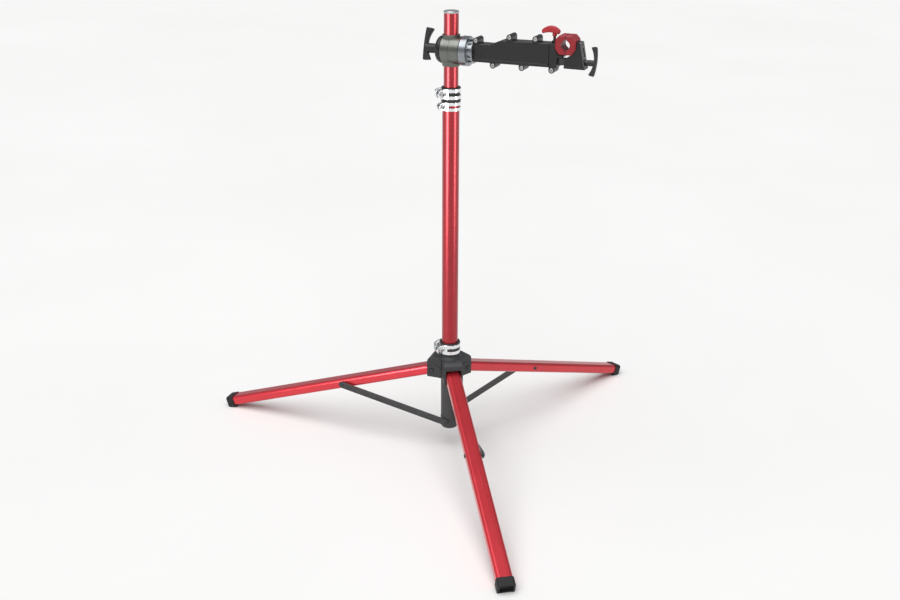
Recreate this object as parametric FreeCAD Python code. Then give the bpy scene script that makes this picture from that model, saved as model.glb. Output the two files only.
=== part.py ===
import FreeCAD, Part
import math
import os

from FreeCAD import Placement, Rotation, Vector

# Bike repair stand, millimetres, +Z up.  The origin is on the floor, on the axis of the mast.
# +X is the way the clamp arm points.  Each leg folds in an upright plane through the mast axis.

# Fits and gaps
RUNNING = 0.05                 # radial clearance of a shaft in its own bore
PASSING = 0.4                  # gap between faces that pass each other

# Mast tubes
LOWER_R = 20.0
UPPER_R = 17.0
TUBE_WALL = 1.8
LOWER_BORE = LOWER_R - TUBE_WALL
UPPER_BORE = UPPER_R - TUBE_WALL
LOWER_FOOT_Z = 60.0
LOWER_TOP_Z = 899.5
UPPER_FOOT_Z = 150.3
UPPER_TOP_Z = 1098.0

# Bottom sleeve, which is also the stop that the collar rests on
SLEEVE_R = 22.0
SLEEVE_FOOT_Z = 52.0
SLEEVE_TOP_Z = 195.7

# Tripod: pivots are given in a leg's own plane, as radius from the mast axis and height
LEG_AZIMUTHS = {"front": -56.0, "right": 64.0, "left": 184.0}
LEG_PIVOT_R = 40.0
LEG_PIVOT_Z = 214.0
LEG_SLOPE = 18.57              # degrees below level when the stand is open
LEG_LENGTH = 626.0             # pivot to the cut end of the tube
LEG_WIDTH = 37.0
LEG_HEIGHT = 26.0
LEG_WALL = 1.6
LEG_CORNER = 7.5
STRUT_ON_LEG = 263.7           # leg pivot to strut pivot, along the leg
STRUT_PIVOT_Z = 71.0           # height of the strut's lower pivot, beside the mast axis
STRUT_HEIGHT = 17.5
STRUT_THICKNESS = 3.5
STRUT_INNER = SLEEVE_R + PASSING
STRUT_OUTER = STRUT_INNER + STRUT_THICKNESS
PIVOT_R = 4.0                  # leg pivot bolt
RIVET_R = 3.5                  # strut pivots

# Collar casting that carries the legs
COLLAR_FOOT_Z = 196.0
COLLAR_TOP_Z = 250.0
COLLAR_R = 25.6
NECK_R = 24.0
NECK_TOP_Z = 292.0
LINER_R = 22.0
CHEEK_INNER = 19.0
CHEEK_OUTER = 24.0
CHEEK_REACH = 53.0
HOOD_CURVE = 15.0

# Clamp bands: the band's ears point this way round the mast
QUICK_EAR_AZIMUTH = 240.0
SCREW_EAR_AZIMUTH = 238.0
COLLET_R = 21.0
HEIGHT_BAND_R = 23.4
HEIGHT_BAND_Z = (906.0, 930.0)
HEIGHT_EAR_X = 29.0
JOIN_BAND_R = 22.8
JOIN_BAND_Z = (879.0, 899.0)
JOIN_EAR_X = 27.0
COLLAR_BAND_R = 26.4
COLLAR_BAND_Z = (264.0, 289.0)
COLLAR_EAR_X = 31.8

# Head, arm and jaws
AXIS_Z = 1016.0                # height of the arm's own axis
SHAFT_R = 8.0
BARREL_R = 31.5
BARREL_X0 = -17.0
BARREL_X1 = 28.0
RING_R = 33.5
RING_X0 = 29.0
RING_X1 = 46.0
HUB_R = 26.5
HUB_X1 = 60.0
ARM_END_X = 237.0
ARM_HALF = 16.0                # half the arm's thickness
ARM_WALL = 3.0
FEED_Z = 1012.0                # height of the jaw's screw
BAR_HALF_Y = 6.5
BAR_Z = (1003.5, 1018.5)       # the bar that the screw turns in
PAD_X = 273.7
PAD_Z = 1048.5
PAD_HALF_X = 23.1
PAD_HALF_Z = 20.6
PAD_HALF_Y = 19.0
PAD_CORNER = 9.0
PAD_HOLE_R = 10.5
PAD_GAP = 1.0
STEM_X = 243.5

X = Vector(1, 0, 0)
Y = Vector(0, 1, 0)
Z = Vector(0, 0, 1)
ORIGIN = Vector(0, 0, 0)


# ---------------------------------------------------------------- basic shapes

def rod(radius, start, end):
    start = Vector(*start)
    along = Vector(*end) - start
    return Part.makeCylinder(radius, along.Length, start, along)


def block(x0, x1, y0, y1, z0, z1):
    return Part.makeBox(x1 - x0, y1 - y0, z1 - z0, Vector(x0, y0, z0))


def tube(outer, inner, z0, z1):
    return rod(outer, (0, 0, z0), (0, 0, z1)).cut(rod(inner, (0, 0, z0 - 1), (0, 0, z1 + 1)))


def prism(points, y0, y1):
    """A solid whose side view is the outline of (x, z) points."""
    corners = [Vector(x, y0, z) for x, z in points]
    face = Part.Face(Part.makePolygon(corners + corners[:1]))
    return face.extrude(Vector(0, y1 - y0, 0))


def turned(points, axis_z):
    """A solid of revolution about the arm's direction, from (x, radius) points."""
    corners = [Vector(x, 0, axis_z + radius) for x, radius in points]
    face = Part.Face(Part.makePolygon(corners + corners[:1]))
    return face.revolve(Vector(0, 0, axis_z), X, 360)


def round_edges(shape, radius, wanted):
    edges = [edge for edge in shape.Edges if wanted(edge)]
    return shape.makeFillet(radius, edges)


def runs_along(direction):
    def test(edge):
        if edge.Curve.TypeId != "Part::GeomLine":
            return False
        return abs(edge.tangentAt(edge.FirstParameter).dot(direction)) > 0.999
    return test


def in_plane(axis, *values):
    """Picks the edges that lie in one of the planes at these values of the axis."""
    def test(edge):
        low, high = getattr(edge.BoundBox, axis + "Min"), getattr(edge.BoundBox, axis + "Max")
        return any(abs(low - value) < 1e-4 and abs(high - value) < 1e-4 for value in values)
    return test


def about_mast(shape, azimuth):
    turned_shape = shape.copy()
    turned_shape.rotate(ORIGIN, Z, azimuth)
    return turned_shape


def group(solids):
    return Part.makeCompound(solids)


def hex_rod(across_flats, start, end):
    start = Vector(*start)
    along = Vector(*end) - start
    corner = Vector(across_flats / math.sqrt(3), 0, 0)
    corners = [Rotation(Z, 60 * k).multVec(corner) for k in range(7)]
    hexagon = Part.Face(Part.makePolygon(corners)).extrude(Vector(0, 0, along.Length))
    hexagon.Placement = Placement(start, Rotation(Z, along))
    return hexagon


# ---------------------------------------------------------------- mast

def strut_bolt():
    """One bolt that a strut swings on, pointing along +Y at the strut's lower pivot."""
    z = STRUT_PIVOT_Z
    shank = rod(RIVET_R, (0, 8, z), (0, STRUT_OUTER + 0.1, z))
    head = rod(4.6, (0, STRUT_OUTER + 0.1, z), (0, STRUT_OUTER + 2.1, z))
    socket = hex_rod(4.0, (0, STRUT_OUTER + 0.8, z), (0, STRUT_OUTER + 3, z))
    return shank.fuse(head).cut(socket)


def strut_bolts():
    return group([about_mast(strut_bolt(), azimuth) for azimuth in LEG_AZIMUTHS.values()])


def lower_tube():
    return tube(LOWER_R, LOWER_BORE, LOWER_FOOT_Z, LOWER_TOP_Z).cut(strut_bolts())


def bottom_sleeve():
    cup = rod(SLEEVE_R, (0, 0, SLEEVE_FOOT_Z), (0, 0, SLEEVE_TOP_Z))
    cup = round_edges(cup, 6.0, in_plane("Z", SLEEVE_FOOT_Z))
    cup = round_edges(cup, 0.8, in_plane("Z", SLEEVE_TOP_Z))
    cup = cup.cut(rod(LOWER_R, (0, 0, LOWER_FOOT_Z), (0, 0, SLEEVE_TOP_Z + 1)))
    return cup.cut(strut_bolts())


def bottom_plug():
    plug = rod(LOWER_BORE, (0, 0, LOWER_FOOT_Z), (0, 0, 92))
    return plug.cut(strut_bolts())


def top_bushing():
    """Guides the upper tube: a spigot in the lower tube, a flange on it and a slotted collet."""
    flange_top, lip_top = LOWER_TOP_Z + 5.5, HEIGHT_BAND_Z[1] + 2.5
    spigot = rod(LOWER_BORE, (0, 0, LOWER_TOP_Z - 38), (0, 0, LOWER_TOP_Z))
    flange = rod(22.6, (0, 0, LOWER_TOP_Z), (0, 0, flange_top))
    flange = round_edges(flange, 1.0, in_plane("Z", flange_top))
    collet = rod(COLLET_R, (0, 0, flange_top), (0, 0, lip_top - 1))
    lip = rod(COLLET_R + 1, (0, 0, lip_top - 2.2), (0, 0, lip_top))
    lip = round_edges(lip, 0.8, in_plane("Z", lip_top))
    body = spigot.fuse([flange, collet, lip])
    body = body.cut(rod(UPPER_R + RUNNING, (0, 0, LOWER_TOP_Z - 40), (0, 0, lip_top + 1)))
    slot = about_mast(block(14, 24, -1.5, 1.5, flange_top + 2, lip_top + 1), QUICK_EAR_AZIMUTH)
    return body.cut(slot)


# ---------------------------------------------------------------- clamp bands
# Each is made with its ears on +X, then turned to its own azimuth.

EAR_GAP = 3.0
EAR_THICKNESS = 4.0


def band(inner, outer, z0, z1, window, ear_x):
    """A split band with a long window round its front and two ears."""
    mid = (z0 + z1) / 2
    ring = tube(outer, inner, z0, z1)
    ring = round_edges(ring, 0.6, in_plane("Z", z0, z1))
    sector = Part.makeCylinder(outer + 2, window, Vector(0, 0, mid - window / 2), Z, 280)
    ring = ring.cut(about_mast(sector, 40))
    half_ear = EAR_GAP / 2 + EAR_THICKNESS
    ears = block(inner + 0.8, ear_x, -half_ear, half_ear, z0 + 1, z1 - 1)
    ears = ears.fuse(rod((z1 - z0) / 2 - 1, (ear_x, -half_ear, mid), (ear_x, half_ear, mid)))
    ears = ears.cut(rod(inner, (0, 0, z0 - 1), (0, 0, z1 + 1)))
    split = block(inner - 3, ear_x + 20, -EAR_GAP / 2, EAR_GAP / 2, z0 - 1, z1 + 1)
    bolt_hole = rod(2.6, (ear_x, -10, mid), (ear_x, 10, mid))
    return ring.fuse(ears).cut([split, bolt_hole])


PIN_R = 2.0
CAM_Y = -13.0                  # the lever's pin, beside the band's ears
CAM_R = 6.0
CAM_HALF = 6.5
CAM_SLOT = 7.0


def eye_bolt(ear_x, mid):
    """A quick-release bolt: round nut at one end, and an eye for the lever's pin at the other."""
    shank = rod(2.5, (ear_x, CAM_Y, mid), (ear_x, 6.5, mid))
    nut = rod(5.6, (ear_x, 5.5, mid), (ear_x, 10.5, mid))
    nut = round_edges(nut, 1.2, in_plane("Y", 10.5))
    socket = hex_rod(4.0, (ear_x, 7.5, mid), (ear_x, 11, mid))
    eye = rod(4.2, (ear_x, CAM_Y, mid - 3), (ear_x, CAM_Y, mid + 3))
    hole = rod(PIN_R, (ear_x, CAM_Y, mid - 4), (ear_x, CAM_Y, mid + 4))
    return shank.fuse([nut, eye]).cut([hole, socket])


def lever_pin(ear_x, mid):
    half = CAM_HALF + 0.8
    pin = rod(PIN_R, (ear_x, CAM_Y, mid - half), (ear_x, CAM_Y, mid + half))
    for end in (mid - half, mid + half - 0.6):
        pin = pin.fuse(rod(3.0, (ear_x, CAM_Y, end), (ear_x, CAM_Y, end + 0.6)))
    return pin


def cam_lever(ear_x, mid, arm_radius):
    """A forked cam with a thin curved arm that lies round the back of the band."""
    cam = rod(CAM_R, (ear_x, CAM_Y, mid - CAM_HALF), (ear_x, CAM_Y, mid + CAM_HALF))
    cam_angle = math.degrees(math.atan2(CAM_Y, ear_x))
    sweep = 92.0
    start = cam_angle - 5 - sweep
    outer = Part.makeCylinder(arm_radius + 1.6, 2 * CAM_HALF, Vector(0, 0, mid - CAM_HALF), Z, sweep)
    inner = rod(arm_radius - 1.6, (0, 0, mid - CAM_HALF - 1), (0, 0, mid + CAM_HALF + 1))
    arm = about_mast(outer.cut(inner), start)
    tip_angle = math.radians(start)
    tip_x, tip_y = arm_radius * math.cos(tip_angle), arm_radius * math.sin(tip_angle)
    tip = rod(2.6, (tip_x, tip_y, mid - CAM_HALF), (tip_x, tip_y, mid + CAM_HALF))
    slot = rod(CAM_R - 1.0, (ear_x, CAM_Y, mid - CAM_SLOT / 2), (ear_x, CAM_Y, mid + CAM_SLOT / 2))
    mouth = block(ear_x - 7, ear_x + 8, CAM_Y - 1.5, CAM_Y + 8, mid - CAM_SLOT / 2, mid + CAM_SLOT / 2)
    side = block(ear_x, ear_x + 8, CAM_Y - 8, CAM_Y + 8, mid - CAM_SLOT / 2, mid + CAM_SLOT / 2)
    hole = rod(PIN_R + RUNNING, (ear_x, CAM_Y, mid - 9), (ear_x, CAM_Y, mid + 9))
    return cam.fuse([arm, tip]).cut([slot, mouth, side, hole])


def quick_clamp(z_range, ear_x, inner, outer):
    mid = sum(z_range) / 2
    arm_radius = math.hypot(ear_x, CAM_Y) + 3.9
    parts = {
        "band": band(inner, outer, *z_range, 8.0, ear_x),
        "bolt": eye_bolt(ear_x, mid),
        "pin": lever_pin(ear_x, mid),
        "lever": cam_lever(ear_x, mid, arm_radius),
    }
    return {name: about_mast(shape, QUICK_EAR_AZIMUTH) for name, shape in parts.items()}


def join_band():
    shape = band(LOWER_R, JOIN_BAND_R, *JOIN_BAND_Z, 5.5, JOIN_EAR_X)
    return about_mast(shape, SCREW_EAR_AZIMUTH)


def join_screw():
    mid = sum(JOIN_BAND_Z) / 2
    shank = rod(2.5, (JOIN_EAR_X, -8, mid), (JOIN_EAR_X, 5.5, mid))
    head = rod(4.4, (JOIN_EAR_X, 5.5, mid), (JOIN_EAR_X, 9.5, mid))
    nut = hex_rod(8.0, (JOIN_EAR_X, -9.5, mid), (JOIN_EAR_X, -5.5, mid))
    socket = hex_rod(4.0, (JOIN_EAR_X, 7.0, mid), (JOIN_EAR_X, 10, mid))
    return about_mast(shank.fuse([head, nut]).cut(socket), SCREW_EAR_AZIMUTH)


# ---------------------------------------------------------------- collar, legs and struts

def leg_pivot_bolt():
    r, z = LEG_PIVOT_R, LEG_PIVOT_Z
    shank = rod(PIVOT_R, (r, -CHEEK_OUTER + 1, z), (r, CHEEK_OUTER - 1, z))
    head = rod(5.2, (r, -CHEEK_OUTER + 2, z), (r, -CHEEK_OUTER - 1, z))
    head = round_edges(head, 0.8, in_plane("Y", -CHEEK_OUTER - 1))
    nut = hex_rod(9.0, (r, CHEEK_OUTER - 2, z), (r, CHEEK_OUTER + 1, z))
    socket = hex_rod(5.0, (r, -CHEEK_OUTER, z), (r, -CHEEK_OUTER - 2, z))
    return shank.fuse([head, nut]).cut(socket)


def leg_pivot_bolts():
    return group([about_mast(leg_pivot_bolt(), azimuth) for azimuth in LEG_AZIMUTHS.values()])


def bracket():
    """The hood of one leg: two cheeks under an arched top, open below and outwards."""
    hollow = [(COLLAR_R + 0.5, 190), (60, 190), (60, 227), (47, 237), (38, 243), (COLLAR_R + 0.5, 245)]
    sides = in_plane("Y", -CHEEK_OUTER, CHEEK_OUTER)
    hood = block(15, CHEEK_REACH, -CHEEK_OUTER, CHEEK_OUTER, COLLAR_FOOT_Z, COLLAR_TOP_Z)
    crown = lambda edge: edge.BoundBox.XMin > CHEEK_REACH - 0.01 and edge.BoundBox.ZMin > COLLAR_TOP_Z - 0.01
    hood = round_edges(hood, HOOD_CURVE, crown)
    hood = round_edges(hood, 2.5, lambda edge: sides(edge) and edge.BoundBox.ZMin > 200)
    channel = prism(hollow, -CHEEK_INNER, CHEEK_INNER)
    rim_x, rim_z, rim_r, rim_half = 36, 208, 23.5, CHEEK_OUTER + 1
    rim = rod(rim_r, (rim_x, -rim_half, rim_z), (rim_x, rim_half, rim_z))
    rim = rim.cut(rod(rim_r - 2.5, (rim_x, -rim_half, rim_z), (rim_x, rim_half, rim_z)))
    rim = rim.common(block(15, CHEEK_REACH, -rim_half, rim_half, COLLAR_FOOT_Z, COLLAR_TOP_Z - 4))
    recesses = [rod(6.6, (LEG_PIVOT_R, side * (CHEEK_OUTER - 2), LEG_PIVOT_Z),
                    (LEG_PIVOT_R, side * (CHEEK_OUTER + 2), LEG_PIVOT_Z)) for side in (-1, 1)]
    return hood.fuse(rim).cut([channel] + recesses)


def collar_casting():
    """The hub that slides on the mast: three hoods round a neck for the clamp band."""
    core = rod(COLLAR_R, (0, 0, COLLAR_FOOT_Z), (0, 0, COLLAR_TOP_Z))
    neck = rod(NECK_R, (0, 0, COLLAR_TOP_Z), (0, 0, NECK_TOP_Z))
    shoulder = Part.makeCone(COLLAR_R + 5, NECK_R + 1, 8, Vector(0, 0, COLLAR_TOP_Z - 1), Z)
    lip = tube(NECK_R + 1.4, NECK_R - 1, NECK_TOP_Z - 2.5, NECK_TOP_Z)
    solids = [neck, shoulder, lip] + [about_mast(bracket(), azimuth) for azimuth in LEG_AZIMUTHS.values()]
    casting = core.fuse(solids).removeSplitter()
    casting = casting.cut(rod(LINER_R, (0, 0, COLLAR_FOOT_Z - 1), (0, 0, NECK_TOP_Z + 1)))
    slot = about_mast(block(18, 26, -1.5, 1.5, COLLAR_TOP_Z + 10, NECK_TOP_Z + 1), QUICK_EAR_AZIMUTH)
    return casting.cut([slot, leg_pivot_bolts()])


def collar_liner():
    liner = tube(LINER_R, LOWER_R + RUNNING, COLLAR_FOOT_Z, NECK_TOP_Z)
    slot = about_mast(block(17, 26, -1.5, 1.5, COLLAR_TOP_Z + 10, NECK_TOP_Z + 1), QUICK_EAR_AZIMUTH)
    return liner.cut(slot)


def rounded_bar(length_from, length_to, width, height, corner):
    bar = block(length_from, length_to, -width / 2, width / 2, -height / 2, height / 2)
    return round_edges(bar, corner, runs_along(X))


def set_leg(shape, azimuth):
    """Takes a piece from the leg's own line (+X, pivot at the origin) to its place."""
    placed = shape.copy()
    placed.rotate(ORIGIN, Y, LEG_SLOPE)
    placed.translate(Vector(LEG_PIVOT_R, 0, LEG_PIVOT_Z))
    return about_mast(placed, azimuth)


def leg_rivet():
    """Crosses the leg where the strut joins: a domed head on one side and a spacer on the other."""
    x = STRUT_ON_LEG
    side = LEG_WIDTH / 2
    shank = rod(RIVET_R, (x, -side, 0), (x, side, 0))
    head = round_edges(rod(5.0, (x, -side, 0), (x, -side - 2.4, 0)), 1.6, in_plane("Y", -side - 2.4))
    spacer = rod(6.0, (x, side, 0), (x, STRUT_INNER - 0.3, 0))
    return shank.fuse([head, spacer])


def leg_tube():
    half = LEG_HEIGHT / 2
    bar = rounded_bar(-half, LEG_LENGTH, LEG_WIDTH, LEG_HEIGHT, LEG_CORNER)
    hollow = rounded_bar(-half - 5, LEG_LENGTH + 5, LEG_WIDTH - 2 * LEG_WALL, LEG_HEIGHT - 2 * LEG_WALL,
                         LEG_CORNER - LEG_WALL)
    bar = bar.cut(hollow)
    round_end = rod(half, (0, -LEG_WIDTH, 0), (0, LEG_WIDTH, 0))
    round_end = round_end.fuse(block(0, LEG_LENGTH, -LEG_WIDTH, LEG_WIDTH, -half, half))
    pivot_hole = rod(PIVOT_R + RUNNING, (0, -LEG_WIDTH, 0), (0, LEG_WIDTH, 0))
    return bar.common(round_end).cut([pivot_hole, leg_rivet()])


FOOT_WALL = 1.7
FOOT_SOLE = 4.0
FOOT_GRIP = 13.0
FOOT_END = 8.0
FOOT_ARCH = 1.6                # height and half width of the hollow under the foot
FOOT_ARCH_HALF = 11.0


def foot_cap(azimuth):
    width = LEG_WIDTH + 2 * FOOT_WALL
    x0, x1 = LEG_LENGTH - FOOT_GRIP, LEG_LENGTH + FOOT_END
    top, bottom = LEG_HEIGHT / 2 + FOOT_WALL, -LEG_HEIGHT / 2 - FOOT_SOLE
    cap = block(x0, x1, -width / 2, width / 2, bottom, top)
    cap = round_edges(cap, 7.0, runs_along(X))
    cap = round_edges(cap, 2.0, in_plane("X", x1))
    socket = rounded_bar(x0 - 1, LEG_LENGTH, LEG_WIDTH, LEG_HEIGHT, LEG_CORNER)
    recess = rounded_bar(x1 - 6, x1 + 2, width - 11, LEG_HEIGHT - 6, 4.0)
    cap = set_leg(cap.cut([socket, recess]), 0)
    arch_r = (FOOT_ARCH_HALF ** 2 + FOOT_ARCH ** 2) / (2 * FOOT_ARCH)
    arch = rod(arch_r, (500, 0, FOOT_ARCH - arch_r), (700, 0, FOOT_ARCH - arch_r))
    cap = cap.cut([block(500, 700, -60, 60, -30, 0), arch])
    return about_mast(cap, azimuth)


def strut_line():
    """Length and slope of a strut, from its lower pivot to the leg, in the leg's plane."""
    slope = math.radians(LEG_SLOPE)
    end_r = LEG_PIVOT_R + STRUT_ON_LEG * math.cos(slope)
    end_z = LEG_PIVOT_Z - STRUT_ON_LEG * math.sin(slope)
    rise = end_z - STRUT_PIVOT_Z
    return math.hypot(end_r, rise), math.degrees(math.atan2(rise, end_r))


def set_strut(shape, azimuth):
    placed = shape.copy()
    placed.rotate(ORIGIN, Y, -strut_line()[1])
    placed.translate(Vector(0, 0, STRUT_PIVOT_Z))
    return about_mast(placed, azimuth)


def strut_bar():
    length = strut_line()[0]
    half = STRUT_HEIGHT / 2
    ends = [rod(half, (x, STRUT_INNER, 0), (x, STRUT_OUTER, 0)) for x in (0, length)]
    bar = block(0, length, STRUT_INNER, STRUT_OUTER, -half, half).fuse(ends).removeSplitter()
    bar = round_edges(bar, 0.7, in_plane("Y", STRUT_OUTER))
    groove = block(16, length - 16, STRUT_OUTER - 1.2, STRUT_OUTER + 1, -half + 3.2, half - 3.2)
    holes = [rod(RIVET_R + RUNNING, (0, 0, 0), (0, 40, 0)), rod(RIVET_R, (length, 0, 0), (length, 40, 0))]
    return bar.cut([groove] + holes)


def strut_rivet():
    """The strut's own half of the upper pivot: it fills the eye and ends in a domed head."""
    length = strut_line()[0]
    shank = rod(RIVET_R, (length, STRUT_INNER, 0), (length, STRUT_OUTER, 0))
    head = rod(5.0, (length, STRUT_OUTER, 0), (length, STRUT_OUTER + 2.2, 0))
    return shank.fuse(round_edges(head, 1.5, in_plane("Y", STRUT_OUTER + 2.2)))


# ---------------------------------------------------------------- upper mast and head

def guide_bushing():
    cup = rod(LOWER_BORE - RUNNING, (0, 0, UPPER_FOOT_Z - 4.3), (0, 0, 190))
    return cup.cut(rod(UPPER_R + RUNNING, (0, 0, UPPER_FOOT_Z - 0.3), (0, 0, 191)))


def arm_bore():
    return rod(SHAFT_R + RUNNING, (-60, 0, AXIS_Z), (RING_X0, 0, AXIS_Z))


def upper_tube():
    return tube(UPPER_R, UPPER_BORE, UPPER_FOOT_Z, UPPER_TOP_Z).cut(arm_bore())


def top_cap():
    plug = rod(UPPER_BORE, (0, 0, UPPER_TOP_Z - 12), (0, 0, UPPER_TOP_Z))
    rim = rod(UPPER_R + 0.5, (0, 0, UPPER_TOP_Z), (0, 0, UPPER_TOP_Z + 5))
    return plug.fuse(round_edges(rim, 2.4, in_plane("Z", UPPER_TOP_Z + 5)))


def grub_screws():
    screws = []
    for z in (AXIS_Z - 20, AXIS_Z + 20):
        screw = rod(3.0, (0, UPPER_R + 0.1, z), (0, 23.6, z))
        screws.append(screw.cut(hex_rod(3.0, (0, 21.5, z), (0, 25, z))))
    return group(screws)


HEAD_COLLAR_R = 20.5
HEAD_COLLAR_Z = (980.0, 1051.0)
GROOVE_X = (3.6, 4.6)          # the parting groove round the barrel


def head_casting():
    """A barrel across the mast, on a collar round it."""
    barrel = rod(BARREL_R, (BARREL_X0, 0, AXIS_Z), (BARREL_X1, 0, AXIS_Z))
    barrel = round_edges(barrel, 1.5, in_plane("X", BARREL_X0, BARREL_X1))
    groove_floor = BARREL_R - 0.6
    groove = turned([(GROOVE_X[0], BARREL_R + 1), (GROOVE_X[0], groove_floor), (GROOVE_X[1], groove_floor),
                     (GROOVE_X[1], BARREL_R + 1)], AXIS_Z)
    collar = rod(HEAD_COLLAR_R, (0, 0, HEAD_COLLAR_Z[0]), (0, 0, HEAD_COLLAR_Z[1]))
    collar = round_edges(collar, 1.5, in_plane("Z", *HEAD_COLLAR_Z))
    bore = rod(UPPER_R + 0.02, (0, 0, HEAD_COLLAR_Z[0] - 10), (0, 0, HEAD_COLLAR_Z[1] + 10))
    return barrel.cut(groove).fuse(collar).cut([bore, arm_bore(), grub_screws()])


def pressure_cap():
    """The domed cap that the lock handle presses on the head."""
    x0, x1 = BARREL_X0 - 14, BARREL_X0
    dome = round_edges(rod(30.5, (x0, 0, AXIS_Z), (x1, 0, AXIS_Z)), 10.0, in_plane("X", x0))
    rim = round_edges(rod(32.0, (x1 - 3, 0, AXIS_Z), (x1, 0, AXIS_Z)), 0.8, in_plane("X", x1 - 3))
    half_chord = math.sqrt(HEAD_COLLAR_R ** 2 - x1 ** 2) + 0.3
    collar_room = block(-HEAD_COLLAR_R - 0.3, x1 + 1, -half_chord, half_chord, *HEAD_COLLAR_Z)
    return dome.fuse(rim).cut([arm_bore(), collar_room])


def t_handle(out, arms, sweep, widths, hub_r, bore_r, bore_depth):
    """A grip on a hub, pointing along +X.  Its two arms, up and down, widen towards their ends."""
    end_width, mid_width = widths
    half_width = 6.0
    top, foot = Vector(out - sweep, 0, arms[0]), Vector(out - sweep, 0, -arms[1])
    inner_top, inner_foot = top - Vector(end_width, 0, 2), foot - Vector(end_width, 0, -2)
    crown, saddle = Vector(out, 0, 0), Vector(out - mid_width, 0, 0)
    edges = [Part.Arc(top, crown, foot).toShape(), Part.makeLine(foot, inner_foot),
             Part.Arc(inner_foot, saddle, inner_top).toShape(), Part.makeLine(inner_top, top)]
    face = Part.Face(Part.Wire(edges))
    face.translate(Vector(0, -half_width, 0))
    grip = face.extrude(Vector(0, 2 * half_width, 0))
    grip = grip.makeFillet(2.4, grip.Edges)
    hub = rod(hub_r, (0, 0, 0), (out - mid_width / 2, 0, 0))
    hub = round_edges(hub, 1.0, in_plane("X", 0))
    return grip.fuse(hub).cut(rod(bore_r, (-1, 0, 0), (bore_depth, 0, 0)))


def lock_handle():
    handle = t_handle(35.5, (46, 28), 1.7, (19.0, 9.5), 11.0, SHAFT_R, 24)
    handle.rotate(ORIGIN, X, 18)
    handle.rotate(ORIGIN, Z, 180)
    handle.translate(Vector(BARREL_X0 - 14.4, 0, AXIS_Z))
    return handle


def arm_shaft():
    """Runs from the lock handle, through the head, into the arm."""
    shaft = rod(SHAFT_R, (BARREL_X0 - 14.4 - 24, 0, AXIS_Z), (HUB_X1 + 9, 0, AXIS_Z))
    head = hex_rod(21.0, (HUB_X1 + 5, 0, AXIS_Z), (HUB_X1 + 13, 0, AXIS_Z))
    return shaft.fuse(head)


def index_ring():
    """The flange between head and arm, and the hub on it with pockets round its rim."""
    flange = rod(RING_R, (RING_X0, 0, AXIS_Z), (RING_X1, 0, AXIS_Z))
    flange = round_edges(flange, 1.4, in_plane("X", RING_X0, RING_X1))
    hub = rod(HUB_R, (RING_X1 - 1, 0, AXIS_Z), (HUB_X1, 0, AXIS_Z))
    hub = round_edges(hub, 4.0, in_plane("X", HUB_X1))
    ring = flange.fuse(hub).cut(rod(SHAFT_R, (RING_X0 - 1, 0, AXIS_Z), (HUB_X1 + 1, 0, AXIS_Z)))
    pockets = []
    for k in range(12):
        pocket = block(RING_X1 + 2.5, HUB_X1 - 3, -3.2, 3.2, AXIS_Z + HUB_R - 4, AXIS_Z + HUB_R + 2)
        pocket = round_edges(pocket, 1.4, runs_along(Z))
        pocket.rotate(Vector(0, 0, AXIS_Z), X, 30 * k + 15)
        pockets.append(pocket)
    return ring.cut(pockets)


# ---------------------------------------------------------------- arm

ARM_OUTLINE = [(RING_X1, 996), (ARM_END_X, 998), (ARM_END_X, 1050), (126, 1048), (100, 1037), (RING_X1, 1037)]
ARM_HOLLOW = [(HUB_X1 + 5, 999), (ARM_END_X + 5, 1001), (ARM_END_X + 5, 1047), (127, 1045), (101, 1034),
              (HUB_X1 + 5, 1034)]
# Each boss: its screw's x and z, and the height at which its web joins the arm
SHELL_BOSSES = [(65.5, 1043.5, 1036), (145, 1056, 1047), (205, 1056.5, 1048), (107, 991.5, 998),
                (175, 992, 999)]
BLOCK_BOSS = (244, 992, 999)
BOSS_R = 6.6


def boss(x, z, root_z, y0, y1):
    """A screw boss on the arm's edge, with the web that joins it to the arm."""
    web = block(x - BOSS_R, x + BOSS_R, y0, y1, min(z, root_z), max(z, root_z))
    return rod(BOSS_R, (x, y0, z), (x, y1, z)).fuse(web)


def arm_screw(x, z):
    shank = rod(2.2, (x, -ARM_HALF + 3, z), (x, 9, z))
    head = rod(4.7, (x, -ARM_HALF + 3, z), (x, -ARM_HALF - 1.3, z))
    head = round_edges(head, 1.2, in_plane("Y", -ARM_HALF - 1.3))
    socket = hex_rod(3.0, (x, -ARM_HALF + 1, z), (x, -ARM_HALF - 2, z))
    return shank.fuse(head).cut(socket)


def arm_screws():
    places = [(x, z) for x, z, _ in SHELL_BOSSES + [BLOCK_BOSS]]
    return group([arm_screw(x, z) for x, z in places])


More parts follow.
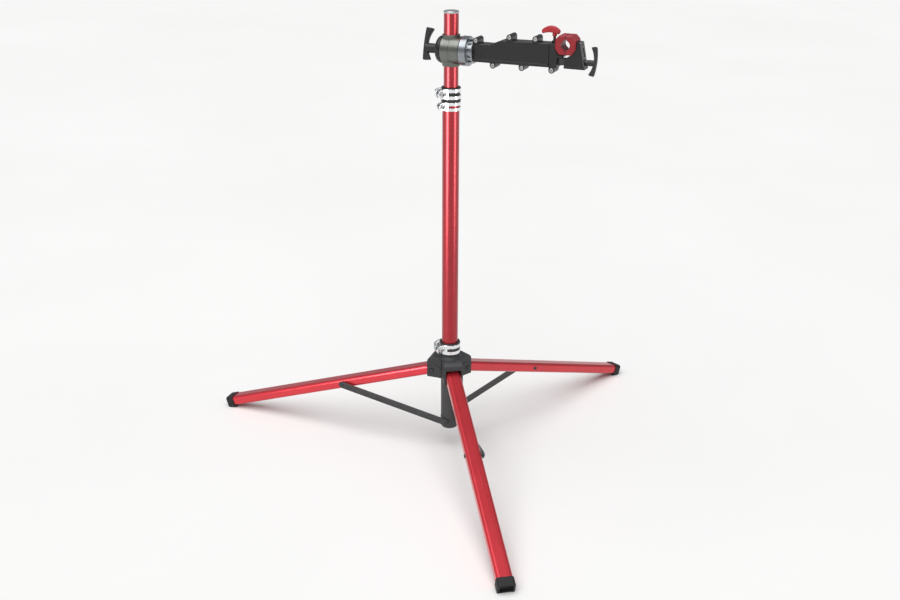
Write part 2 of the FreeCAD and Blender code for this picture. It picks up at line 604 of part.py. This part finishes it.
def arm_shell(side):
    """One half of the arm's casing: side -1 is the half that the screws enter, +1 the other."""
    shell = prism(ARM_OUTLINE, 0, ARM_HALF)
    shell = round_edges(shell, 2.5, in_plane("Y", ARM_HALF))
    rail = prism([(HUB_X1, 996.5), (ARM_END_X, 998.4), (ARM_END_X, 1005), (HUB_X1, 1004)], 0, ARM_HALF + 1.5)
    rail = round_edges(rail, 1.2, in_plane("Y", ARM_HALF + 1.5))
    mark_x, mark_r = HUB_X1 + 14, 9.5
    mark = rod(mark_r, (mark_x, ARM_HALF - 1, AXIS_Z), (mark_x, ARM_HALF + 0.7, AXIS_Z))
    mark = mark.cut(rod(mark_r - 1.6, (mark_x, ARM_HALF - 2, AXIS_Z), (mark_x, ARM_HALF + 2, AXIS_Z)))
    shell = shell.fuse([rail, mark]).cut(prism(ARM_HOLLOW, -1, ARM_HALF - ARM_WALL))
    bosses = [boss(x, z, root, 0, ARM_HALF + 0.5) for x, z, root in SHELL_BOSSES]
    shell = shell.fuse(bosses)
    if side < 0:
        shell = shell.mirror(ORIGIN, Y)
    hub_room = rod(HUB_R, (RING_X1 - 1, 0, AXIS_Z), (HUB_X1, 0, AXIS_Z))
    shaft_room = rod(SHAFT_R, (RING_X1 - 1, 0, AXIS_Z), (HUB_X1 + 6, 0, AXIS_Z))
    shell = shell.cut([hub_room, shaft_room, arm_screws()])
    return max(shell.Solids, key=lambda solid: solid.Volume)


def bar_channel(x0, x1):
    half_y = BAR_HALF_Y + PASSING
    return block(x0, x1, -half_y, half_y, BAR_Z[0] - PASSING, BAR_Z[1] + PASSING)


STEM_R = 3.0
STEM_FOOT_Z = BAR_Z[1] + 0.3
SPRING_Z = (1027.0, 1042.0)


def fixed_jaw_block():
    outline = [(ARM_END_X, 998), (255, 998), (255, 1020.5), (268, 1021.5), (268, 1025), (257, 1026),
               (250.6, 1038), (250.6, 1050), (ARM_END_X, 1050)]
    body = prism(outline, -ARM_HALF, ARM_HALF)
    sides = in_plane("Y", -ARM_HALF, ARM_HALF)
    body = round_edges(body, 1.5, lambda edge: sides(edge) and edge.BoundBox.XMax < 256)
    tongue = block(ARM_END_X - 15, ARM_END_X + 1, -12.9, 12.9, 1001.2, 1046.4)
    guide = round_edges(rod(5.8, (STEM_X, 0, 1046), (STEM_X, 0, 1054.5)), 1.2, in_plane("Z", 1054.5))
    foot_boss = boss(*BLOCK_BOSS, -ARM_HALF - 0.5, ARM_HALF + 0.5)
    body = body.fuse([tongue, guide, foot_boss])
    stem_hole = rod(STEM_R + RUNNING, (STEM_X, 0, 1040), (STEM_X, 0, 1060))
    spring_hole = rod(5.3, (STEM_X, 0, BAR_Z[1]), (STEM_X, 0, SPRING_Z[1]))
    return body.cut([bar_channel(ARM_END_X - 20, 260), stem_hole, spring_hole, arm_screws(), pad_octagon()])


def pad_octagon():
    x0, x1, z0, z1 = PAD_X - PAD_HALF_X, PAD_X + PAD_HALF_X, PAD_Z - PAD_HALF_Z, PAD_Z + PAD_HALF_Z
    cut = PAD_CORNER
    outline = [(x0 + cut, z0), (x1 - cut, z0), (x1, z0 + cut + 3), (x1, z1 - cut), (x1 - cut, z1),
               (x0 + cut, z1), (x0, z1 - cut), (x0, z0 + cut + 3)]
    solid = prism(outline, -PAD_HALF_Y, PAD_HALF_Y)
    at_end = in_plane("Y", -PAD_HALF_Y, PAD_HALF_Y)
    solid = solid.makeChamfer(2.0, [edge for edge in solid.Edges if at_end(edge)])
    hole = rod(PAD_HOLE_R, (PAD_X, -40, PAD_Z), (PAD_X, 40, PAD_Z))
    notch = block(-2.8, 2.8, -40, 40, -2.8, 2.8)
    notch.rotate(ORIGIN, Y, 45)
    notches = [notch.translated(Vector(PAD_X, 0, PAD_Z + side * PAD_HOLE_R)) for side in (-1, 1)]
    return solid.cut([hole] + notches)


def jaw_pad(side):
    """One half of the split rubber jaw: side -1 is on the arm, +1 on the sliding block."""
    start = PAD_X + side * PAD_GAP / 2
    x0, x1 = sorted((start, start + side * 40))
    return pad_octagon().common(block(x0, x1, -40, 40, 1000, 1100))


# ---------------------------------------------------------------- sliding jaw

BLOCK_HALF = 13.0
FLANGE_HALF = 15.0
BAR_X = (140.0, 300.0)
THREAD_R = 4.0
JOURNAL_R = 6.2
JOURNAL_X = (303.5, 321.8)
PLATE = 3.0
PLATE_HALF = 12.0
SLOT_DEPTH = 1.2


def ratchet_bar():
    """The bar that the fixed block guides: notched on top, with a threaded hole in its end."""
    bar = block(*BAR_X, -BAR_HALF_Y, BAR_HALF_Y, *BAR_Z)
    top = BAR_Z[1]
    notch = prism([(0, top + 0.1), (0, top - 1.6), (3.4, top + 0.1)], -BAR_HALF_Y - 1, BAR_HALF_Y + 1)
    notches = [notch.translated(Vector(x, 0, 0)) for x in range(192, 252, 4)]
    screw_hole = rod(THREAD_R + RUNNING, (254, 0, FEED_Z), (BAR_X[1] + 1, 0, FEED_Z))
    return bar.cut(notches + [screw_hole])


def slope_x(z):
    """The sliding block's outer end leans: its x at height z."""
    return 317.7 - 0.2 * (z - 999.7)


def sliding_block():
    outline = [(271, 1000), (slope_x(1000) - PLATE, 1000), (slope_x(1056) - PLATE, 1056), (296, 1056),
               (296, 1040), (287, 1028), (284, 1027), (271, 1018)]
    body = prism(outline, -BLOCK_HALF, BLOCK_HALF)
    sides = in_plane("Y", -BLOCK_HALF, BLOCK_HALF)
    body = round_edges(body, 2.0, lambda edge: sides(edge) and edge.BoundBox.XMin > 300)
    flange = prism([(271, 998.4), (318, 998.4), (317, 1004), (271, 1004)], -FLANGE_HALF, FLANGE_HALF)
    flange = round_edges(flange, 1.0, in_plane("Y", -FLANGE_HALF, FLANGE_HALF))
    journal_hole = rod(JOURNAL_R + RUNNING, (300, 0, FEED_Z), (330, 0, FEED_Z))
    pad_room = pad_octagon()
    return body.fuse(flange).cut([bar_channel(270, 303.2), journal_hole, pad_room, jaw_end_plate()])


def jaw_end_plate():
    """A cast plate on the leaning end, with two slots above the screw."""
    z0, z1 = 1004.0, 1056.5
    outline = [(slope_x(z0) - PLATE, z0), (slope_x(z0), z0), (slope_x(z1), z1), (slope_x(z1) - PLATE, z1)]
    plate = prism(outline, -PLATE_HALF, PLATE_HALF)
    top_corners = lambda edge: abs(edge.Length - PLATE) < 0.01 and edge.BoundBox.ZMin > 1050
    plate = round_edges(plate, 3.0, top_corners)
    outside = prism([(slope_x(z) - SLOT_DEPTH, z) for z in (z0, z1)] + [(340, z1), (340, z0)], -17, 17)
    slots = [outside.common(block(295, 340, -3.5, 3.5, *heights)) for heights in ((1024, 1044), (1048, 1052))]
    journal = rod(JOURNAL_R + 1, (295, 0, FEED_Z), (330, 0, FEED_Z))
    return plate.cut(slots + [journal])


def feed_screw():
    thread = rod(THREAD_R, (258, 0, FEED_Z), (JOURNAL_X[0], 0, FEED_Z))
    journal = rod(JOURNAL_R, (JOURNAL_X[0], 0, FEED_Z), (JOURNAL_X[1], 0, FEED_Z))
    end = rod(THREAD_R, (JOURNAL_X[1], 0, FEED_Z), (JOURNAL_X[1] + 11, 0, FEED_Z))
    return thread.fuse([journal, end])


def clamp_handle():
    handle = t_handle(19, (35.5, 28.5), 3.7, (12.5, 6.5), 6.6, THREAD_R, 11)
    handle.rotate(ORIGIN, X, -16)
    handle.translate(Vector(JOURNAL_X[1], 0, FEED_Z))
    return handle


def release_stem():
    """The pin that holds the bar: a collar for its spring and a plain end over the notches."""
    pin = rod(STEM_R, (STEM_X, 0, STEM_FOOT_Z), (STEM_X, 0, 1074))
    collar = rod(4.8, (STEM_X, 0, SPRING_Z[0] - 3), (STEM_X, 0, SPRING_Z[0]))
    return pin.fuse(collar)


def release_spring():
    wire_r, coil_r = 0.55, 4.1
    low, high = SPRING_Z[0] + 2 * wire_r, SPRING_Z[1] - 2 * wire_r
    helix = Part.makeHelix((high - low) / 5, high - low, coil_r)
    helix.translate(Vector(STEM_X, 0, low))
    start = Vector(STEM_X + coil_r, 0, low)
    section = Part.Wire(Part.makeCircle(wire_r, start, Vector(0, 1, 0)))
    return Part.Wire(helix).makePipeShell([section], True, True)


def release_handle():
    handle = t_handle(20, (29, 12.5), 9, (7.0, 13.0), 5.0, STEM_R, 10)
    handle.rotate(ORIGIN, Y, -90)
    handle.translate(Vector(STEM_X, 0, 1064))
    return handle


# ---------------------------------------------------------------- everything, by name

def all_parts():
    parts = {
        "lower_tube": lower_tube(),
        "bottom_sleeve": bottom_sleeve(),
        "bottom_plug": bottom_plug(),
        "strut_bolts": strut_bolts(),
        "top_bushing": top_bushing(),
        "join_band": join_band(),
        "join_screw": join_screw(),
        "collar_casting": collar_casting(),
        "collar_liner": collar_liner(),
        "leg_pivot_bolts": leg_pivot_bolts(),
        "guide_bushing": guide_bushing(),
        "upper_tube": upper_tube(),
        "top_cap": top_cap(),
        "head_casting": head_casting(),
        "grub_screws": grub_screws(),
        "pressure_cap": pressure_cap(),
        "lock_handle": lock_handle(),
        "arm_shaft": arm_shaft(),
        "index_ring": index_ring(),
        "arm_front_shell": arm_shell(-1),
        "arm_rear_shell": arm_shell(1),
        "arm_screws": arm_screws(),
        "fixed_jaw_block": fixed_jaw_block(),
        "fixed_jaw_pad": jaw_pad(-1),
        "moving_jaw_pad": jaw_pad(1),
        "ratchet_bar": ratchet_bar(),
        "sliding_block": sliding_block(),
        "jaw_end_plate": jaw_end_plate(),
        "feed_screw": feed_screw(),
        "clamp_handle": clamp_handle(),
        "release_stem": release_stem(),
        "release_spring": release_spring(),
        "release_handle": release_handle(),
    }
    height = quick_clamp(HEIGHT_BAND_Z, HEIGHT_EAR_X, COLLET_R, HEIGHT_BAND_R)
    collar = quick_clamp(COLLAR_BAND_Z, COLLAR_EAR_X, NECK_R, COLLAR_BAND_R)
    for name, clamp in (("height_clamp", height), ("collar_clamp", collar)):
        for piece, shape in clamp.items():
            parts[f"{name}_{piece}"] = shape
    for name, azimuth in LEG_AZIMUTHS.items():
        parts[f"{name}_leg"] = set_leg(leg_tube(), azimuth)
        parts[f"{name}_leg_rivet"] = set_leg(leg_rivet(), azimuth)
        parts[f"{name}_foot"] = foot_cap(azimuth)
        parts[f"{name}_strut"] = set_strut(strut_bar(), azimuth)
        parts[f"{name}_strut_rivet"] = set_strut(strut_rivet(), azimuth)
    return parts


os.makedirs("parts", exist_ok=True)
for node, shape in all_parts().items():
    shape.exportStep(f"parts/{node}.step")
    print(f"{node}: {len(shape.Solids)} solids, {shape.Volume / 1000:.1f} cm3, valid {shape.isValid()}")
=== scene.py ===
import math

import bpy
from mathutils import Matrix, Vector

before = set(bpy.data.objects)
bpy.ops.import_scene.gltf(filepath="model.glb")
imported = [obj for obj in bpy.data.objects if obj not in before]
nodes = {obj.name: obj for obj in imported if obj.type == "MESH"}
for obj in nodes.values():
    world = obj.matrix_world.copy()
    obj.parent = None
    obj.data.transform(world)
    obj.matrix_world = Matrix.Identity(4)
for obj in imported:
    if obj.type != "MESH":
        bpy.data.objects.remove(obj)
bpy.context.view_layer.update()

# The camera stands this far round from the arm's own side view, and looks down at the stand.
VIEW_TURN = math.radians(23.12)
VIEW_DROP = math.radians(22.80)
VIEW_ROLL = math.radians(0.275)
VIEW_DISTANCE = 2.5924
VIEW_HEIGHT = 1.4924
VIEW_LENS = 45.59

# The legs point these ways round the mast, in degrees, and slope down to their feet.
LEG_AZIMUTHS = {"front": -56.0, "right": 64.0, "left": 184.0}
LEG_SLOPE = math.radians(18.57)
CHROMED = ["join_band", "height_clamp_band", "collar_clamp_band", "height_clamp_lever", "collar_clamp_lever"]

# The studio: heights and distances in metres, light in watts.
STRIP_DISTANCE = 1.8
STRIP_HEIGHT = 0.75
STRIP_LENGTH = 1.5
MIDDLE = (0, 0, 0.6)
WORLD_TINT = (0.95, 0.96, 1.0, 1)
WORLD_STRENGTH = 0.36

TO_CAMERA = Vector((math.sin(VIEW_TURN), -math.cos(VIEW_TURN), 0))
TO_RIGHT = Vector((math.cos(VIEW_TURN), math.sin(VIEW_TURN), 0))
UP = Vector((0, 0, 1))


# ---------------------------------------------------------------- node tools

class Shader:
    """A material's node tree, with short ways to add the nodes used here."""

    def __init__(self, name):
        self.material = bpy.data.materials.new(name)
        self.material.use_nodes = True
        self.tree = self.material.node_tree
        self.bsdf = self.tree.nodes["Principled BSDF"]

    def add(self, kind, **settings):
        node = self.tree.nodes.new("ShaderNode" + kind)
        for key, value in settings.items():
            setattr(node, key, value)
        return node

    def link(self, output, socket):
        self.tree.links.new(output, socket)

    def set(self, **values):
        for key, value in values.items():
            socket = self.bsdf.inputs[key.replace("_", " ")]
            if isinstance(value, bpy.types.NodeSocket):
                self.link(value, socket)
            elif socket.type == "RGBA":
                socket.default_value = (*value, 1)
            else:
                socket.default_value = value

    def place(self, scale=(1, 1, 1), azimuth=0.0, slope=0.0):
        """Object coordinates in metres, laid along a direction and then stretched."""
        vector = self.add("TexCoord").outputs["Object"]
        steps = ("Rotation", (0, 0, -azimuth)), ("Rotation", (0, -slope, 0)), ("Scale", scale)
        for setting, value in steps:
            mapping = self.add("Mapping")
            mapping.inputs[setting].default_value = value
            self.link(vector, mapping.inputs["Vector"])
            vector = mapping.outputs["Vector"]
        return vector

    def noise(self, vector, scale, detail=3.0, roughness=0.5):
        node = self.add("TexNoise")
        node.inputs["Scale"].default_value = scale
        node.inputs["Detail"].default_value = detail
        node.inputs["Roughness"].default_value = roughness
        self.link(vector, node.inputs["Vector"])
        return node.outputs["Fac"]

    def cells(self, vector, scale):
        node = self.add("TexVoronoi")
        node.inputs["Scale"].default_value = scale
        self.link(vector, node.inputs["Vector"])
        return node.outputs["Distance"]

    def span(self, value, low, high, out_low=0.0, out_high=1.0):
        node = self.add("MapRange")
        self.link(value, node.inputs["Value"])
        for key, number in (("From Min", low), ("From Max", high), ("To Min", out_low), ("To Max", out_high)):
            node.inputs[key].default_value = number
        return node.outputs["Result"]

    def colour(self, value, *stops):
        """Colours along a ramp: stops are (position, (r, g, b))."""
        node = self.add("ValToRGB")
        ramp = node.color_ramp
        while len(ramp.elements) < len(stops):
            ramp.elements.new(0.5)
        for element, (position, rgb) in zip(ramp.elements, stops):
            element.position = position
            element.color = (*rgb, 1)
        self.link(value, node.inputs["Fac"])
        return node.outputs["Color"]

    def mixed(self, value, first, second):
        node = self.add("Mix", data_type="RGBA")
        self.link(value, node.inputs["Factor"])
        for source, socket in ((first, node.inputs[6]), (second, node.inputs[7])):
            if isinstance(source, bpy.types.NodeSocket):
                self.link(source, socket)
            else:
                socket.default_value = (*source, 1)
        return node.outputs[2]

    def bump(self, height, strength, distance, normal=None):
        node = self.add("Bump")
        node.inputs["Strength"].default_value = strength
        node.inputs["Distance"].default_value = distance
        self.link(height, node.inputs["Height"])
        if normal is not None:
            self.link(normal, node.inputs["Normal"])
        return node.outputs["Normal"]

    def soft_edges(self, radius):
        node = self.add("Bevel", samples=4)
        node.inputs["Radius"].default_value = radius
        return node.outputs["Normal"]

    def edge_mask(self, bevelled, strength):
        """1 on edges, where the bevelled normal leaves the true one, and 0 on flats."""
        geometry = self.add("NewGeometry")
        dot = self.add("VectorMath", operation="DOT_PRODUCT")
        self.link(bevelled, dot.inputs[0])
        self.link(geometry.outputs["Normal"], dot.inputs[1])
        return self.span(dot.outputs["Value"], 1.0, 1.0 - strength)


def wear_on_edges(shader, base, worn, radius, strength, vector, amount=0.5):
    """Base colour that is rubbed lighter in patches along the edges, and the softened normal."""
    bevelled = shader.soft_edges(radius)
    edge = shader.edge_mask(bevelled, strength)
    patches = shader.span(shader.noise(vector, 90, 4, 0.6), 0.42, 0.68, 0.0, amount)
    rubbed = shader.add("Math", operation="MULTIPLY")
    shader.link(edge, rubbed.inputs[0])
    shader.link(patches, rubbed.inputs[1])
    return shader.mixed(rubbed.outputs["Value"], base, worn), bevelled


def shade(factor, rgb):
    """A colour made darker or lighter, and never brighter than white."""
    return tuple(min(1.0, factor * channel) for channel in rgb)


# ---------------------------------------------------------------- materials

def red_anodised(name, dark, light, azimuth=0.0, slope=math.pi / 2):
    """Satin anodised tube: drawing lines along it and a clear, slightly waxy top."""
    s = Shader(name)
    lengthwise = s.place((0.012, 1, 1), azimuth, slope)
    lines = s.noise(lengthwise, 1500, 2, 0.6)
    broad = s.noise(lengthwise, 160, 3, 0.5)
    cloud = s.noise(s.place(), 14, 3, 0.55)
    red = s.colour(cloud, (0.3, dark), (0.7, light))
    red = s.mixed(s.span(broad, 0.35, 0.75, 0.0, 0.20), red, shade(0.85, dark))
    marks = s.span(s.noise(s.place((0.25, 1, 1), azimuth, slope), 420, 5, 0.7), 0.60, 0.72, 0.0, 0.05)
    red = s.mixed(marks, red, (0.50, 0.05, 0.06))
    base, bevelled = wear_on_edges(s, red, (0.62, 0.40, 0.38), 0.0006, 0.10, s.place(), 0.35)
    s.set(Base_Color=base, Metallic=0.80, Coat_Weight=0.6, Coat_Roughness=0.26, IOR=1.5)
    s.set(Roughness=s.span(broad, 0.3, 0.7, 0.24, 0.34))
    s.set(Normal=s.bump(lines, 0.10, 0.00006, bevelled))
    return s.material


def moulded(name, dark, light, rough, grain=1400.0, depth=0.00010):
    """Glass-filled moulding: a fine spark-eroded grain, flow clouds and rubbed edges."""
    s = Shader(name)
    where = s.place()
    skin = s.noise(where, grain, 3, 0.6)
    cloud = s.noise(where, 22, 4, 0.6)
    base = s.colour(cloud, (0.32, dark), (0.70, light))
    speck = s.span(s.noise(where, grain * 0.6, 2, 0.7), 0.62, 0.75, 0.0, 0.35)
    base = s.mixed(speck, base, shade(1.8, light))
    base, bevelled = wear_on_edges(s, base, shade(4.0, light), 0.0005, 0.12, where)
    s.set(Base_Color=base, Specular_IOR_Level=0.5)
    s.set(Roughness=s.span(cloud, 0.3, 0.7, rough - 0.05, rough + 0.07))
    s.set(Normal=s.bump(skin, 0.5, depth, bevelled))
    return s.material


def turned_metal(name, tint, rough, axis, lines=2600.0):
    """Metal machined on a lathe: fine rings across its axis, and faint stains."""
    s = Shader(name)
    stretch = {"X": (1, 0.02, 0.02), "Z": (0.02, 0.02, 1), "none": (1, 1, 1)}[axis]
    rings = s.noise(s.place(stretch), lines, 2, 0.6)
    cloud = s.noise(s.place(), 35, 4, 0.6)
    base = s.colour(cloud, (0.3, shade(0.86, tint)), (0.7, tint))
    base, bevelled = wear_on_edges(s, base, shade(1.7, tint), 0.0005, 0.12, s.place(), 0.7)
    s.set(Base_Color=base, Metallic=1.0)
    s.set(Roughness=s.span(rings, 0.3, 0.7, rough - 0.05, rough + 0.08))
    s.set(Normal=s.bump(rings, 0.25, 0.00005, bevelled))
    return s.material


def chrome_plate(name):
    """Polished plate with hairline scratches and faint finger haze."""
    s = Shader(name)
    haze = s.noise(s.place(), 60, 4, 0.6)
    scratch = s.noise(s.place((1, 1, 0.05)), 1800, 2, 0.7)
    base = s.colour(haze, (0.3, (0.74, 0.75, 0.77)), (0.7, (0.86, 0.87, 0.88)))
    s.set(Base_Color=base, Metallic=1.0, Roughness=s.span(haze, 0.35, 0.7, 0.06, 0.16))
    s.set(Normal=s.bump(scratch, 0.06, 0.00004, s.soft_edges(0.0005)))
    return s.material


def zinc_steel(name, tint=(0.60, 0.60, 0.58), rough=0.32):
    """Plated or blackened steel: small crystals under cloudy stains."""
    s = Shader(name)
    where = s.place()
    spangle = s.cells(where, 700)
    cloud = s.noise(where, 120, 4, 0.6)
    base = s.colour(spangle, (0.1, tint), (0.8, shade(0.78, tint)))
    base = s.mixed(s.span(cloud, 0.45, 0.75, 0.0, 0.4), base, shade(0.55, tint))
    s.set(Base_Color=base, Metallic=1.0, Roughness=s.span(cloud, 0.3, 0.7, rough - 0.08, rough + 0.12))
    s.set(Normal=s.bump(spangle, 0.12, 0.00004, s.soft_edges(0.0003)))
    return s.material


def painted_steel(name, dark, light):
    """Stove-painted bar: fine orange peel, and bare metal where the edges rub."""
    s = Shader(name)
    where = s.place()
    peel = s.noise(where, 900, 2, 0.5)
    cloud = s.noise(where, 30, 4, 0.6)
    base = s.colour(cloud, (0.3, dark), (0.7, light))
    base, bevelled = wear_on_edges(s, base, (0.30, 0.30, 0.30), 0.0005, 0.12, where, 0.6)
    s.set(Base_Color=base, Roughness=s.span(cloud, 0.3, 0.7, 0.36, 0.48))
    s.set(Coat_Weight=0.15, Coat_Roughness=0.2)
    s.set(Normal=s.bump(peel, 0.25, 0.00008, bevelled))
    return s.material


def rubber(name, dark, light, rough, grain=1100.0, depth=0.00012):
    """Moulded rubber or soft plastic: a fine skin, flow clouds and a little dust."""
    s = Shader(name)
    where = s.place()
    skin = s.noise(where, grain, 3, 0.6)
    cloud = s.noise(where, 26, 4, 0.6)
    dust = s.span(s.noise(where, 240, 5, 0.7), 0.52, 0.78, 0.0, 0.18)
    dusty = tuple(min(1.0, 0.10 + 1.2 * channel) for channel in light)
    base = s.mixed(dust, s.colour(cloud, (0.3, dark), (0.7, light)), dusty)
    s.set(Base_Color=base, Specular_IOR_Level=0.4)
    s.set(Roughness=s.span(cloud, 0.3, 0.7, rough - 0.04, rough + 0.08))
    s.set(Normal=s.bump(skin, 0.5, depth, s.soft_edges(0.0008)))
    return s.material


def dress(material, *names):
    """Gives CAD nodes a material in every slot."""
    for name in names:
        mesh = nodes[name].data
        mesh.materials.clear()
        mesh.materials.append(material)



# Painted shade: the tubes' red is darker than the legs' copy of it, standing in for the dark room reflected
# in them.
dress(red_anodised("red_tube_painted_shade", (0.27, 0.008, 0.014), (0.32, 0.010, 0.018)), "lower_tube", "upper_tube")
# Painted light: the legs carry a lighter copy of the tubes' red, for the light that falls on them from above.
for leg_painted_light, azimuth in LEG_AZIMUTHS.items():
    leg_red_painted_light = red_anodised(f"red_{leg_painted_light}_leg", (0.50, 0.022, 0.032), (0.58, 0.027, 0.040),
                           math.radians(azimuth), LEG_SLOPE)
    dress(leg_red_painted_light, f"{leg_painted_light}_leg")

arm_black = moulded("arm_black", (0.007, 0.007, 0.008), (0.013, 0.013, 0.015), 0.34, depth=0.00006)
handle_black = moulded("handle_black", (0.014, 0.014, 0.015), (0.028, 0.028, 0.030), 0.46)
collar_grey = moulded("collar_grey", (0.024, 0.025, 0.026), (0.040, 0.041, 0.043), 0.52, 1100.0, 0.00014)
sleeve_grey = moulded("sleeve_grey", (0.042, 0.042, 0.043), (0.062, 0.062, 0.063), 0.52, 1100.0)
nylon_black = moulded("nylon_black", (0.012, 0.012, 0.013), (0.022, 0.022, 0.023), 0.42)
gunmetal = turned_metal("gunmetal", (0.19, 0.20, 0.182), 0.34, "X")
bright_alloy = turned_metal("bright_alloy", (0.33, 0.35, 0.37), 0.28, "X")
cap_alloy = turned_metal("cap_alloy", (0.62, 0.63, 0.65), 0.30, "Z")
plate_alloy = turned_metal("plate_alloy", (0.13, 0.13, 0.135), 0.34, "none", lines=900.0)
chrome = chrome_plate("chrome")
zinc = zinc_steel("zinc")
black_oxide = zinc_steel("black_oxide", (0.10, 0.10, 0.105), 0.40)
strut_paint = painted_steel("strut_paint", (0.030, 0.030, 0.031), (0.050, 0.050, 0.050))
jaw_red = rubber("jaw_red", (0.27, 0.014, 0.021), (0.36, 0.020, 0.029), 0.40)
lever_red = rubber("lever_red", (0.40, 0.020, 0.030), (0.50, 0.030, 0.040), 0.36, 1600.0, 0.00006)
foot_black = rubber("foot_black", (0.009, 0.009, 0.0095), (0.017, 0.017, 0.0175), 0.60)

dress(arm_black, "arm_front_shell", "arm_rear_shell", "fixed_jaw_block", "sliding_block", "pressure_cap")
dress(handle_black, "lock_handle", "clamp_handle")
dress(collar_grey, "collar_casting")
dress(sleeve_grey, "bottom_sleeve")
dress(nylon_black, "top_bushing", "collar_liner", "guide_bushing", "bottom_plug")
dress(gunmetal, "head_casting")
dress(bright_alloy, "index_ring")
dress(cap_alloy, "top_cap")
dress(plate_alloy, "jaw_end_plate")
dress(chrome, *CHROMED)
dress(zinc, "join_screw", "height_clamp_bolt", "height_clamp_pin", "collar_clamp_bolt", "collar_clamp_pin",
      "arm_screws", "release_spring")
dress(black_oxide, "arm_shaft", "grub_screws", "ratchet_bar", "feed_screw", "release_stem", "leg_pivot_bolts",
      "strut_bolts")
dress(jaw_red, "fixed_jaw_pad", "moving_jaw_pad")
dress(lever_red, "release_handle")
for leg_painted_light in LEG_AZIMUTHS:
    dress(strut_paint, f"{leg_painted_light}_strut")
    dress(black_oxide, f"{leg_painted_light}_leg_rivet", f"{leg_painted_light}_strut_rivet")
    dress(foot_black, f"{leg_painted_light}_foot")


# ---------------------------------------------------------------- studio

def around(turn, distance, height):
    """A place round the stand: turn is degrees to the right of the camera, seen from above."""
    angle = math.radians(turn)
    return (TO_CAMERA * math.cos(angle) + TO_RIGHT * math.sin(angle)) * distance + UP * height


def floor():
    bpy.ops.mesh.primitive_plane_add(size=60, location=(0, 0, 0))
    plane = bpy.context.object
    plane.name = "studio_floor"
    s = Shader("floor_paper")
    cloud = s.noise(s.place(), 0.8, 3, 0.5)
    grit = s.noise(s.place(), 220, 3, 0.6)
    s.set(Base_Color=s.colour(cloud, (0.3, (0.80, 0.795, 0.78)), (0.7, (0.83, 0.825, 0.812))), Roughness=0.75)
    s.set(Normal=s.bump(grit, 0.05, 0.0002))
    plane.data.materials.append(s.material)


def hang(name, data, place, target):
    """Puts a light's data in the scene at a place, turned to its target."""
    light = bpy.data.objects.new(name, data)
    bpy.context.collection.objects.link(light)
    light.location = place
    light.rotation_mode = "QUATERNION"
    light.rotation_quaternion = (Vector(target) - Vector(place)).to_track_quat("-Z", "Y")
    return light


def softbox(name, place, target, width, height, power, lit):
    """A rectangular light that falls only on the objects of one collection."""
    data = bpy.data.lights.new(name, "AREA")
    data.shape = "RECTANGLE"
    data.size, data.size_y = width, height
    data.energy = power
    light = hang(name, data, place, target)
    light.light_linking.receiver_collection = lit


def daylight(name, place, target, strength, spread):
    """A distant lamp, so broad that its shadows are soft, which lights the floor evenly."""
    data = bpy.data.lights.new(name, "SUN")
    data.energy = strength
    data.angle = math.radians(spread)
    hang(name, data, place, target)


def shining_pieces():
    """A collection of the tubes, legs and plated bands, for the strip lights that shape them."""
    group = bpy.data.collections.new("shining")
    names = ["lower_tube", "upper_tube", *CHROMED, *(f"{leg_painted_light}_leg" for leg_painted_light in LEG_AZIMUTHS)]
    for name in names:
        group.objects.link(nodes[name])
    return group


def studio():
    floor()
    lit = shining_pieces()
    daylight("ceiling", around(-30, 1.2, 3.0), (0, 0, 0), 2.85, 70)
    for name, turn, width, power in (("strip_left", -47, 0.75, 42), ("strip_right", 60, 0.40, 20)):
        softbox(name, around(turn, STRIP_DISTANCE, STRIP_HEIGHT), MIDDLE, width, STRIP_LENGTH, power, lit)
    softbox("bank_front", around(6, 3.0, 2.3), (0, 0, 0.9), 1.8, 0.5, 12, lit)
    world = bpy.data.worlds.new("studio")
    world.use_nodes = True
    background = world.node_tree.nodes["Background"]
    background.inputs["Color"].default_value = WORLD_TINT
    background.inputs["Strength"].default_value = WORLD_STRENGTH
    bpy.context.scene.world = world


def camera():
    data = bpy.data.cameras.new("camera")
    data.sensor_width = 36
    data.lens = VIEW_LENS
    item = bpy.data.objects.new("camera", data)
    bpy.context.collection.objects.link(item)
    item.rotation_mode = "QUATERNION"
    heading = Matrix.Rotation(VIEW_TURN, 4, "Z")
    tilt = Matrix.Rotation(math.pi / 2 - VIEW_DROP, 4, "X")
    roll = Matrix.Rotation(VIEW_ROLL, 4, "Z")
    item.location = TO_CAMERA * VIEW_DISTANCE + UP * VIEW_HEIGHT
    item.rotation_quaternion = (heading @ tilt @ roll).to_quaternion()
    bpy.context.scene.camera = item


studio()
camera()
bpy.context.scene.view_settings.view_transform = "Standard"
